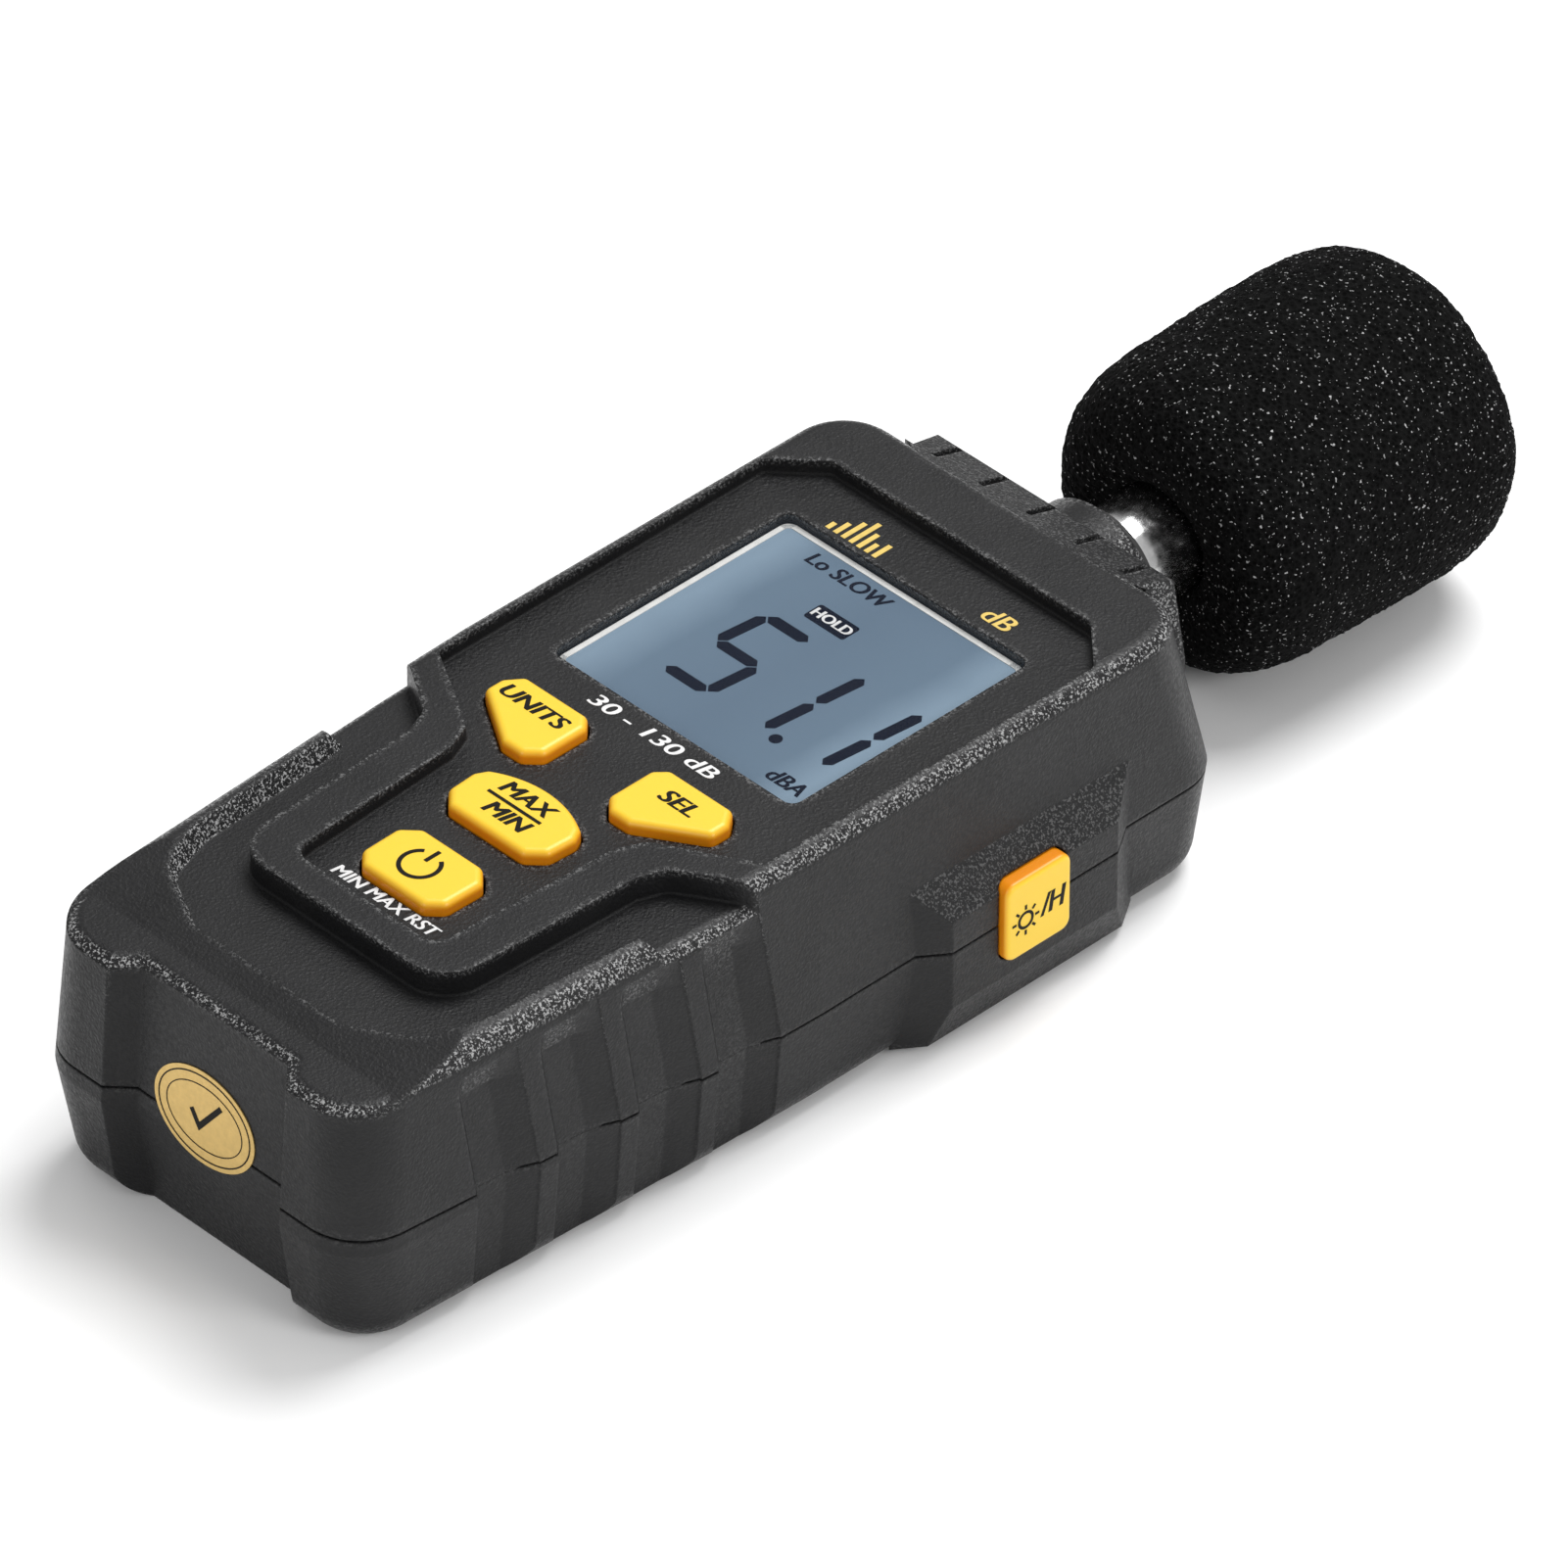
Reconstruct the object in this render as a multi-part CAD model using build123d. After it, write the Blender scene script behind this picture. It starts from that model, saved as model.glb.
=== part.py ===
"""Hand-held digital sound level meter with a foam windscreen, lying on its back.

Millimetres, +Z up through the display, +Y towards the microphone, +X to the reader's right.
The origin is on the flat rear face, straight under the centre of the display window.
"""
from build123d import *
import os

# ---------------------------------------------------------------- driving dimensions
WALL = 2.2                       # shell wall
FIT = 0.25                       # clearance round a piece that slides in a hole

# heights above the rear face
Z_WIDEST = 13.6                  # the walls lean in above and below this height
Z_SEAM_HEAD = 13.1               # joint between the shells under the display
Z_SEAM_TAIL = 15.6               # the same joint where it has risen at the battery end
Z_CEILING = 29.0                 # inside face of the front shell
Z_DECK = 31.4                    # sunk deck round the keypad
Z_PANEL = 32.6                   # sunk panel that carries the window and the keys
Z_RIM = 33.4                     # raised finger rims beside the deck
Z_TOP = 34.4                     # raised display end and keypad rim
Z_MIC = 18.9                     # microphone axis

# plan of the case: half widths and lengths
HALF_WIDTH = 27.4
HALF_WIDTH_GRIP = 27.0
HALF_WIDTH_TAIL = 24.4
Y_HEAD = 38.2
Y_GRIP = -30.0
Y_TAIL = -85.0
R_TAIL = 7.0
R_HEAD = 6.8
FRONT_DRAFT = 0.052              # inward lean of the walls, per mm of height
REAR_DRAFT = 0.087
HEAD_DRAFT = 0.19                # the microphone end leans back more, above the joint only
R_TOP = 2.0                      # rounded top edge of the display end
R_DECK = 1.8                     # rounded edge of the sunk deck
R_RIM = 2.8                      # rounded edge of the finger rims
R_REAR = 4.0                     # rounded rear edge

# finger grip
GROOVE_COUNT = 4
GROOVE_FIRST = -68.4
GROOVE_PITCH = 10.8
GROOVE_DEPTH = 1.15
GROOVE_FADE = 27.0               # height where a groove starts to run out
SEAM_GROOVE = (0.32, 0.9)        # height and depth of the groove round the joint
GROOVE_SLANT = 2.4               # how far a groove runs back towards the battery end at its top

# recess in the battery end
TAIL_RECESS = (10.8, 13.4, 2.6)  # half width inside, half width outside, depth

# display stack: clear window, gasket, liquid crystal panel, light guide
WINDOW = (36.0, 34.4, 1.3)       # width, length, corner radius
WINDOW_T = 1.0
LCD_SIZE = (35.6, 34.0)
LCD_T = 2.4
LCD_FRAME = (42.0, 40.2)

# keys
KEY_TOP = 34.1
KEY_DOME = 0.85                  # rounded edge of a key's face
KEY_TRAVEL = 0.9
KEY_LIP = 1.0                    # lip that keeps a key behind the panel
KEY_LIP_T = 1.3
PLUNGER_R = 2.2
PLUNGER_END = 25.0
MAT_TOP = 26.3
MAT_T = 1.0

# main board
Z_BOARD = 22.0
BOARD_T = 1.6

# side key and the shelf round it
SHELF_X = 29.7
SHELF_Y = (-5.4, 18.7)           # ends of the flat outer face
SHELF_TOP = 17.3
SIDE_KEY_AT = (6.2, 13.3)        # centre, along Y and Z
SIDE_KEY_SIZE = (9.5, 10.0, 1.4)  # along Y, along Z, corner radius
SIDE_KEY_X = 30.7
SIDE_TRAVEL = 0.8
SIDE_CAVITY_X = 27.2

# three AAA cells side by side in the rear shell
CELL_R = 5.25
CELL_L = 44.5
CELL_PITCH = 11.0
CELL_Z = 8.0
BAY = (17.0, -67.5, -17.5)       # half width, battery end, display end
BAY_ROOF = 13.6
BAY_WALL = 1.2
COVER = (17.0, -71.4, -15.6)     # half width, battery end, display end
COVER_T = 2.0
COVER_SCREW_Y = -69.5

# head cap, microphone and windscreen
CAP_SLOTS = 5
CAP_SLOT_PITCH = 7.0
BARREL_R = 6.35
BARREL_BORE = 5.35
BARREL_Y = (28.0, 76.0)
FOAM_Y = (53.6, 93.2)
FOAM_R = 18.6
FOAM_BORE = 6.65

# fasteners
CASE_SCREWS = [(21.0, 25.0), (-21.0, 25.0), (16.6, -75.4), (-16.6, -75.4)]
BOARD_SCREWS = [(19.4, -37.6), (-19.4, -37.6), (13.6, -62.5), (-13.6, -62.5)]
CASE_BOSS_R = 3.0
BOARD_BOSS_R = 2.2


# ---------------------------------------------------------------- small helpers
def mirror_points(right_half):
    """Close an outline from its right half, listed from the +Y end to the -Y end."""
    return right_half + [(-x, y) for x, y in reversed(right_half) if x > 0]


def outline(points):
    return make_face(Polyline(*points, close=True))


def round_corners(face, radius, chosen):
    """Round the plan corners that the test picks."""
    return fillet([v for v in face.vertices() if chosen(v.X, v.Y)], radius)


def prism(face, z0, z1, taper=0.0):
    return extrude(Pos(0, 0, z0) * face, z1 - z0, taper=taper)


def box(x0, x1, y0, y1, z0, z1):
    return Pos((x0 + x1) / 2, (y0 + y1) / 2, (z0 + z1) / 2) * Box(x1 - x0, y1 - y0, z1 - z0)


def plate(width, length, radius, z0, z1, y=0.0):
    return prism(Pos(0, y) * RectangleRounded(width, length, radius), z0, z1)


def post(x, y, z0, z1, radius):
    return Pos(x, y, (z0 + z1) / 2) * Cylinder(radius, z1 - z0)


def rod(x, z, y0, y1, radius):
    """Round bar along Y."""
    return Pos(x, (y0 + y1) / 2, z) * Rot(90, 0, 0) * Cylinder(radius, y1 - y0)


def bar(y, z, x0, x1, radius):
    """Round bar along X."""
    return Pos((x0 + x1) / 2, y, z) * Rot(0, 90, 0) * Cylinder(radius, x1 - x0)


def side_prism(points, x0, x1):
    """Extrude a (y, z) outline along X."""
    return extrude(Pos(x0, 0, 0) * (Plane.YZ * outline(points)), x1 - x0)


# ---------------------------------------------------------------- case outlines
def lean_at(z):
    """How far the walls have leaned in at a height."""
    return FRONT_DRAFT * (z - Z_WIDEST) if z > Z_WIDEST else REAR_DRAFT * (Z_WIDEST - z)


def case_outline(z=Z_WIDEST, inset=0.0, recessed=True):
    """Plan of the case at a height, with the recess in its battery end or a straight end."""
    inset += lean_at(z)
    head = Y_HEAD - inset - HEAD_DRAFT * max(z - Z_WIDEST, 0)
    tail = Y_TAIL + inset + lean_at(z) * 0.6
    inside, outside, depth = TAIL_RECESS
    right = [
        (HALF_WIDTH - inset, head),
        (HALF_WIDTH - inset, Y_GRIP + 8.0),
        (HALF_WIDTH_GRIP - inset, Y_GRIP - 4.0),
        (HALF_WIDTH_TAIL - inset, tail),
    ]
    if recessed:
        right += [(outside, tail), (inside, tail + depth)]
    face = outline(mirror_points(right))
    face = round_corners(face, max(R_TAIL - (inset - lean_at(z)), 2.0), lambda x, y: y < -70 and abs(x) > 18)
    face = round_corners(face, max(R_HEAD - (inset - lean_at(z)), 2.0), lambda x, y: y > 25)
    return Pos(0, 0, z) * face


def panel_outline():
    """Sunk panel: wide round the display, narrow round the keypad."""
    right = [(19.2, 24.8), (24.7, 19.8), (24.4, -27.2), (13.4, -33.4), (11.9, -37.0), (10.6, -60.4)]
    face = outline(mirror_points(right))
    face = round_corners(face, 2.2, lambda x, y: y < -59)
    face = round_corners(face, 2.0, lambda x, y: -35 < y < -33)
    return round_corners(face, 1.0, lambda x, y: y > 18)


def plateau_outline():
    """Raised area: the whole display end, then a narrow rim round the keypad."""
    right = [(40.0, 60.0), (40.0, -21.6), (26.6, -29.8), (18.2, -35.0), (16.9, -38.4), (15.8, -64.2)]
    face = outline(mirror_points(right))
    face = round_corners(face, 5.0, lambda x, y: y < -60)
    return round_corners(face, 2.5, lambda x, y: -36 < y < -34)


def deck_outline():
    """Foot of the finger rims, which curve in and fade out towards the battery end."""
    right = [(24.0, -36.0), (22.0, -44.0), (21.0, -57.0), (20.7, -63.0), (18.6, -69.5), (11.0, -73.5)]
    face = outline(mirror_points(right))
    return round_corners(face, 4.0, lambda x, y: -72 < y < -60)


def groove_outline(side, y, z, depth):
    """One finger groove at a height: a step in, a flat, then a ramp back out."""
    along = (Y_GRIP - y) / (Y_GRIP - Y_TAIL)
    edge = HALF_WIDTH_GRIP + (HALF_WIDTH_TAIL - HALF_WIDTH_GRIP) * along - lean_at(z)
    y -= GROOVE_SLANT * max(z - Z_WIDEST, 0) / (Z_RIM - Z_WIDEST)
    bottom = edge - depth
    points = [
        (edge + 3.0, y - 2.6), (edge + 0.2, y - 0.2), (bottom, y + 1.0),
        (bottom + 0.15, y + 4.8), (edge + 0.3, y + 8.2), (edge + 3.0, y + 9.4),
    ]
    return Pos(0, 0, z) * outline([(side * px, py) for px, py in points])


def groove(side, y):
    """Groove of even depth that dies out under the rim."""
    levels = [(-1.0, GROOVE_DEPTH), (Z_WIDEST, GROOVE_DEPTH), (GROOVE_FADE, GROOVE_DEPTH), (36.0, -2.0)]
    sections = [groove_outline(side, y, z, depth) for z, depth in levels]
    return loft(sections[:2]) + loft(sections[1:3]) + loft(sections[2:])


# ---------------------------------------------------------------- case body, before it is split
def side_shelf():
    """Raised shelf that the side key stands in."""
    inner = HALF_WIDTH - 1.6
    profile = [(inner, 1.2), (SHELF_X - 1.5, 1.2), (SHELF_X, 6.0), (SHELF_X, SHELF_TOP),
               (HALF_WIDTH - 0.2, SHELF_TOP + 4.1), (inner, SHELF_TOP + 6.4)]
    y0, y1 = SHELF_Y
    plan = [(inner, y0 - 5.4), (SHELF_X, y0), (SHELF_X, y1), (inner, y1 + 6.0)]
    length = 40.0
    shelf = extrude(Pos(0, length, 0) * (Plane.XZ * outline(profile)), 2 * length)
    return shelf & prism(outline(plan), 0, 40)


def case_block(height, radius):
    """Block with leaning walls and rounded top and rear edges, up to a given top face."""
    front = loft([case_outline(), case_outline(height)])
    front = fillet(front.edges().group_by(Axis.Z)[-1], radius)
    rear = loft([case_outline(0, recessed=False), case_outline(recessed=False)])
    rear = fillet(rear.edges().group_by(Axis.Z)[0], R_REAR)
    inside, outside, depth = TAIL_RECESS
    notches = []
    for z in (-0.5, Z_WIDEST):
        y = Y_TAIL + lean_at(z) * 1.6
        notches.append(Pos(0, 0, z) * outline([(-outside - 4, y - 4), (-outside, y), (-inside, y + depth),
                                               (inside, y + depth), (outside, y), (outside + 4, y - 4)]))
    return front + (rear - loft(notches))


def finger_rims():
    """Raised rims beside the keypad, fading out towards the battery end."""
    rims = case_block(Z_RIM, R_RIM)
    rims -= extrude(Pos(0, 0, Z_DECK) * deck_outline(), 4.0, taper=-32)
    top = Z_RIM + 0.6
    return rims & side_prism([(-42.6, 5), (-42.6, Z_DECK), (-44.2, top), (-64, top), (-82, Z_DECK - 0.9),
                              (-90, Z_DECK - 1.3), (-90, 5)], -40, 40)


def case_body():
    """Outside of the whole case: display end, sunk deck with its rims, shelf and grooves."""
    plateau = prism(plateau_outline(), -1, 40)
    body = (case_block(Z_TOP, R_TOP) & plateau) + case_block(Z_DECK, R_DECK) + finger_rims()
    body += side_shelf()
    body -= prism(panel_outline(), Z_PANEL, 40)
    for index in range(GROOVE_COUNT):
        for side in (-1, 1):
            body -= groove(side, GROOVE_FIRST + index * GROOVE_PITCH)
    return body


def below_seam(z0=-20.0, z1=0.0):
    """Everything between two heights, counted from the joint face, which rises towards the battery end."""
    points = [(60, Z_SEAM_HEAD + z0), (60, Z_SEAM_HEAD + z1), (Y_GRIP, Z_SEAM_HEAD + z1),
              (-90, Z_SEAM_TAIL + z1), (-90, Z_SEAM_TAIL + z0), (Y_GRIP, Z_SEAM_HEAD + z0)]
    return side_prism(points, -40, 40)


def seam_groove():
    """Narrow groove that runs round the outside of the joint."""
    core = loft([case_outline(z, SEAM_GROOVE[1]) for z in (Z_WIDEST - 5.0, Z_WIDEST)])
    core += loft([case_outline(z, SEAM_GROOVE[1]) for z in (Z_WIDEST, Z_WIDEST + 5.0)])
    y0, y1 = SHELF_Y
    core += box(0, SHELF_X - SEAM_GROOVE[1], y0 - 1.0, y1 + 1.0, 5, 25)
    return below_seam(0.0, SEAM_GROOVE[0]) - core


def cavity():
    """Inside of the closed case."""
    middle, top, floor = (case_outline(z, WALL) for z in (Z_WIDEST, Z_CEILING, WALL))
    front = loft([middle, top])
    rear = loft([floor, middle])
    key_y, key_z = SIDE_KEY_AT
    shelf = box(20, SIDE_CAVITY_X, key_y - 7.0, key_y + 7.0, key_z - 7.2, key_z + 6.6)
    return front + rear + shelf


# ---------------------------------------------------------------- keys
def select_outline():
    points = [(6.2, -23.1), (15.4, -23.1), (17.0, -25.2), (17.0, -27.6), (9.4, -32.3),
              (6.6, -32.3), (4.8, -30.6), (4.8, -24.6)]
    return round_corners(outline(points), 1.0, lambda x, y: True)


def units_outline():
    return mirror(select_outline(), about=Plane.YZ)


def max_min_outline():
    face = outline(mirror_points([(6.9, -36.5), (7.7, -38.0), (7.5, -41.6), (5.5, -43.5)]))
    chord = Polyline((6.9, -36.5), (-6.9, -36.5))
    face += make_face(chord + ThreePointArc((-6.9, -36.5), (0, -34.5), (6.9, -36.5)))
    return round_corners(face, 1.0, lambda x, y: True)


def power_outline():
    face = outline(mirror_points([(4.4, -47.9), (6.4, -49.8), (6.3, -54.8), (4.5, -56.5)]))
    return round_corners(face, 1.2, lambda x, y: True)


KEYS = {
    "power_key": (power_outline, (0.0, -52.2)),
    "max_min_key": (max_min_outline, (0.0, -39.2)),
    "units_key": (units_outline, (-10.6, -27.4)),
    "select_key": (select_outline, (10.6, -27.4)),
}


def front_key(shape, centre):
    top = prism(shape(), Z_CEILING - FIT, KEY_TOP)
    top = fillet(top.edges().group_by(Axis.Z)[-1], KEY_DOME)
    seat = Z_CEILING - FIT
    lip = prism(offset(shape(), KEY_LIP), seat - KEY_LIP_T, seat)
    return top + lip + post(*centre, PLUNGER_END, seat - KEY_LIP_T, PLUNGER_R)


def side_key_face(grow=0.0):
    length, height, radius = SIDE_KEY_SIZE
    return RectangleRounded(length + 2 * grow, height + 2 * grow, radius + grow)


def side_key_bar(x0, x1, grow=0.0):
    key_y, key_z = SIDE_KEY_AT
    return extrude(Pos(x0, key_y, key_z) * (Plane.YZ * side_key_face(grow)), x1 - x0)


def side_key():
    cap = side_key_bar(SIDE_CAVITY_X - 0.1, SIDE_KEY_X)
    cap = fillet(cap.edges().group_by(Axis.X)[-1], 0.6)
    lip = side_key_bar(SIDE_CAVITY_X - 1.3, SIDE_CAVITY_X - 0.1, 0.9)
    return cap + lip + bar(*SIDE_KEY_AT, SIDE_CAVITY_X - 2.8, SIDE_CAVITY_X - 1.3, 1.6)


# ---------------------------------------------------------------- shells
def head_notch(grow=0.0):
    """Plan of the gap in the microphone end that the head cap fills."""
    right = [(14.0, 32.4 - grow), (19.0 + grow, 34.4 - grow), (21.0 + grow, 34.4 - grow), (21.0 + grow, 50.0)]
    return outline(mirror_points(right))


def front_shell():
    shell = case_body() - below_seam()
    shell -= seam_groove()
    shell -= cavity()
    for x, y in CASE_SCREWS:
        shell += post(x, y, Z_SEAM_TAIL, Z_CEILING + 0.5, CASE_BOSS_R)
        shell -= post(x, y, 10, 24.0, 1.45)
    for x, y in BOARD_SCREWS:
        shell += post(x, y, Z_BOARD, Z_CEILING + 0.5, BOARD_BOSS_R)
        shell -= post(x, y, Z_BOARD - 1, 26.0, 1.05)
    shell -= plate(*WINDOW, Z_CEILING - 1, 40)
    for shape, _ in KEYS.values():
        shell -= prism(offset(shape(), FIT), Z_CEILING - 1, 40)
    shell -= side_key_bar(SIDE_CAVITY_X - 1, 40, FIT)
    return shell - prism(head_notch(), -1, 40)


def battery_tray():
    half, y0, y1 = BAY
    _, cover_y0, cover_y1 = COVER
    tray = box(-half - BAY_WALL, half + BAY_WALL, y0 - BAY_WALL, y1 + BAY_WALL, 0.8, BAY_ROOF + BAY_WALL)
    tray += box(-half - BAY_WALL, half + BAY_WALL, cover_y0 - BAY_WALL, cover_y1 + BAY_WALL, 0.8, 4.0)
    tray += post(0, COVER_SCREW_Y, 0.8, 11.0, 2.4)
    return tray - box(-half, half, y0, y1, -1, BAY_ROOF)


def rear_shell():
    shell = case_body() & below_seam()
    shell -= cavity()
    for x, y in CASE_SCREWS:
        shell += post(x, y, 1.0, Z_SEAM_HEAD - 0.2, CASE_BOSS_R)
    shell += battery_tray()
    half, cover_y0, cover_y1 = COVER
    middle = (cover_y0 + cover_y1) / 2
    shell -= plate(2 * half, cover_y1 - cover_y0, 2.0, -1, COVER_T, middle)
    shell -= box(-BAY[0], BAY[0], BAY[1], BAY[2], -1, BAY_ROOF)
    shell -= post(0, COVER_SCREW_Y, 1, 9.5, 1.05)
    for x, y in CASE_SCREWS:
        shell -= post(x, y, -1, 2.6, 2.7)
        shell -= post(x, y, -1, 14, 1.6)
    shell -= side_key_bar(SIDE_CAVITY_X - 1, 40, FIT)
    return shell - prism(head_notch(), -1, 40)


def battery_cover():
    half, y0, y1 = COVER
    cover = plate(2 * (half - FIT), y1 - y0 - 2 * FIT, 2.0 - FIT, 0, COVER_T - 0.05, (y0 + y1) / 2)
    for index in range(5):
        y = -26.0 - index * 2.4
        cover -= box(-7, 7, y, y + 1.1, -1, 0.5)
    cover -= post(0, COVER_SCREW_Y, -1, 1.3, 1.9)
    return cover - post(0, COVER_SCREW_Y, -1, 5, 1.25)


def head_cap():
    """Sloping nose that closes the microphone end, with a plug inside the shells."""
    tip = 41.8
    right = [(13.8, 32.65), (18.8, 34.65), (20.75, 34.65), (20.75, 37.4), (15.6, 39.6), (13.2, tip)]
    nose = prism(outline(mirror_points(right)), 2.0, 33.6)
    for side in (0, 1):
        wedge = side_prism([(30, 34.4), (32.2, 33.6), (38.6, 31.6), (40.6, 29.4), (tip, 26.6), (50, 26.0),
                            (50, 40), (30, 40)], -40, 40)
        nose -= wedge if side == 0 else Pos(0, 0, 2 * Z_MIC - 2.2) * mirror(wedge, about=Plane.XY)
    for side in (-1, 1):
        shoulder = outline([(side * 14, 40), (side * 21.0, 40), (side * 21.0, 23.0)])
        nose -= extrude(Pos(0, 60, 0) * (Plane.XZ * shoulder), 25.6)
    for index in range(CAP_SLOTS):
        x = (index - (CAP_SLOTS - 1) / 2) * CAP_SLOT_PITCH
        nose -= side_prism([(34.6, 40), (34.6, 32.3), (39.2, 30.6), (45, 26), (45, 40)], x - 0.45, x + 0.45)
    plug = box(-13, 13, 28.6, 32.5, 6.5, 28.6)
    cap = nose + plug + rod(0, Z_MIC, tip - 0.5, tip + 3.2, 9.2)
    return cap - rod(0, Z_MIC, 20, 60, BARREL_R + 0.02)


# ---------------------------------------------------------------- display stack
Z_LCD = Z_PANEL - 0.1 - WINDOW_T - 0.1    # face of the liquid crystal panel


def display_window():
    return plate(WINDOW[0] - 0.1, WINDOW[1] - 0.1, WINDOW[2], Z_LCD + 0.1, Z_LCD + 0.1 + WINDOW_T)


def window_gasket():
    ring = plate(*LCD_SIZE, 1.3, Z_LCD, Z_LCD + 0.1)
    return ring - plate(LCD_SIZE[0] - 1.4, LCD_SIZE[1] - 1.4, 0.6, 20, 40)


def lcd_glass():
    return plate(*LCD_SIZE, 1.3, Z_LCD - LCD_T, Z_LCD)


def backlight():
    return box(-17.6, 17.6, -15.0, 15.0, 23.6, Z_LCD - LCD_T)


def zebra_strips():
    strip = box(-17.0, 17.0, 15.3, 16.9, Z_BOARD, Z_LCD - LCD_T)
    return strip + mirror(strip, about=Plane.XZ)


def lcd_frame():
    frame = plate(*LCD_FRAME, 1.5, Z_BOARD, Z_CEILING - FIT)
    return frame - plate(LCD_SIZE[0] + 0.3, LCD_SIZE[1] + 0.3, 0.3, 20, 40)


# ---------------------------------------------------------------- electronics
def main_board():
    right = [(21.6, 25.6), (21.6, -41.0), (17.4, -45.0), (17.4, -66.0)]
    board = prism(outline(mirror_points(right)), Z_BOARD - BOARD_T, Z_BOARD)
    for x, y in CASE_SCREWS[:2]:
        board -= post(x, y, 15, 25, CASE_BOSS_R + 0.4)
    for x, y in BOARD_SCREWS:
        board -= post(x, y, 15, 25, 1.2)
    return board


def board_screws():
    screws = []
    for x, y in BOARD_SCREWS:
        z = Z_BOARD - BOARD_T
        screws.append(post(x, y, z - 1.4, z, 2.0) + post(x, y, z, 25.4, 1.0))
    return screws


def processor():
    return box(-5.0, 5.0, -52.0, -42.0, Z_BOARD - BOARD_T - 1.6, Z_BOARD - BOARD_T)


def capacitors():
    z = Z_BOARD - BOARD_T
    return [post(x, y, z - 4.6, z, 2.5) for x, y in ((-12.0, 12.0), (-12.0, 4.0), (12.0, 18.0))]


def key_switches():
    switches = []
    for _, (x, y) in KEYS.values():
        body = box(x - 3.0, x + 3.0, y - 3.0, y + 3.0, Z_BOARD, 23.5)
        switches.append(body + post(x, y, 23.5, PLUNGER_END - KEY_TRAVEL - 0.1, 1.7))
    return switches


def keypad_mat():
    mat = plate(17.0, 24.6, 2.0, MAT_TOP - MAT_T, MAT_TOP, -46.4)
    mat += plate(37.0, 13.4, 2.0, MAT_TOP - MAT_T, MAT_TOP, -28.0)
    for _, centre in KEYS.values():
        mat -= post(*centre, 20, 30, PLUNGER_R + 0.4)
    return mat


def side_board():
    return box(18.6, 20.2, 0.0, 12.0, 7.0, Z_BOARD - BOARD_T)


def side_switch():
    key_y, key_z = SIDE_KEY_AT
    tip = SIDE_CAVITY_X - 2.8 - SIDE_TRAVEL - 0.1
    body = box(20.2, tip - 1.0, key_y - 3, key_y + 3, key_z - 3, key_z + 3)
    return body + bar(key_y, key_z, tip - 1.0, tip, 1.5)


# ---------------------------------------------------------------- batteries
def cell_ends(index):
    """Flat end, button end and which way the cell points."""
    way = 1 if index % 2 == 0 else -1
    button = BAY[2] - 0.4 if way > 0 else BAY[1] + 0.4
    return button - way * CELL_L, button, way


def cell_x(index):
    return (index - 1) * CELL_PITCH


def battery(index):
    flat, button, way = cell_ends(index)
    neck = button - way * 0.8
    can = rod(cell_x(index), CELL_Z, min(flat, neck), max(flat, neck), CELL_R)
    can = fillet(can.edges(), 0.5)
    return can + rod(cell_x(index), CELL_Z, min(neck, button), max(neck, button), 1.9)


def contact_plates():
    """Two plates at each end of the bay, one of them bridging two cells."""
    low, high = 3.6, 12.6
    plates = []
    for y, x0, x1 in ((BAY[1], -15.6, 4.8), (BAY[1], 6.4, 15.6), (BAY[2] - 0.4, -15.6, -6.4),
                      (BAY[2] - 0.4, -4.8, 15.6)):
        plates.append(box(x0, x1, y, y + 0.4, low, high))
    return plates


def contact_springs():
    springs = []
    for index in range(3):
        flat, _, way = cell_ends(index)
        foot = BAY[1] + 0.4 if way > 0 else BAY[2] - 0.4
        length = abs(flat - foot)
        coil = Helix(pitch=length / 3.4, height=length - 0.8, radius=3.2, cone_angle=8)
        wire = sweep(Plane(coil @ 0, z_dir=coil % 0) * Circle(0.35), path=coil)
        turn = Rot(-90, 0, 0) if way > 0 else Rot(90, 0, 0)
        springs.append(Pos(cell_x(index), foot + way * 0.4, CELL_Z) * turn * wire)
    return springs


# ---------------------------------------------------------------- microphone end
def mic_barrel():
    y0, y1 = BARREL_Y
    barrel = rod(0, Z_MIC, y0, y1, BARREL_R)
    barrel = fillet(barrel.edges().group_by(Axis.Y)[-1], 0.5)
    barrel += rod(0, Z_MIC, y0 - 1.5, y0, BARREL_R + 1.2)
    barrel -= rod(0, Z_MIC, y0 - 5, y1 - 1.6, BARREL_BORE)
    return barrel - rod(0, Z_MIC, y0 - 5, y1 + 5, BARREL_BORE - 0.6)


def mic_capsule():
    return rod(0, Z_MIC, BARREL_Y[1] - 7.6, BARREL_Y[1] - 1.6, BARREL_BORE)


def mic_grille():
    """Perforated disc in the barrel's mouth."""
    y = BARREL_Y[1] - 1.6
    disc = rod(0, Z_MIC, y, y + 0.8, BARREL_BORE - 0.6)
    for ring, count in ((0.0, 1), (2.0, 6), (3.7, 12)):
        for spot in PolarLocations(ring, count) if ring else [Location()]:
            disc -= rod(spot.position.X, Z_MIC + spot.position.Y, y - 1, y + 2, 0.5)
    return disc


def mic_ring():
    """Rubber ring that seats the barrel in the head cap."""
    return rod(0, Z_MIC, 45.0, 46.6, 7.6) - rod(0, Z_MIC, 40, 50, BARREL_R)


def mic_board():
    return rod(0, Z_MIC, BARREL_Y[1] - 9.2, BARREL_Y[1] - 7.6, BARREL_BORE)


def mic_leads():
    """Two wires from the capsule board down to the main board."""
    leads = []
    for x in (-1.6, 1.6):
        corners = ((x, BARREL_Y[1] - 9.2, 17.6), (x, 22.4, 17.6), (x, 22.4, Z_BOARD - BOARD_T))
        path = FilletPolyline(*corners, radius=1.4)
        leads.append(sweep(Plane(path @ 0, z_dir=path % 0) * Circle(0.5), path=path))
    return leads


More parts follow.
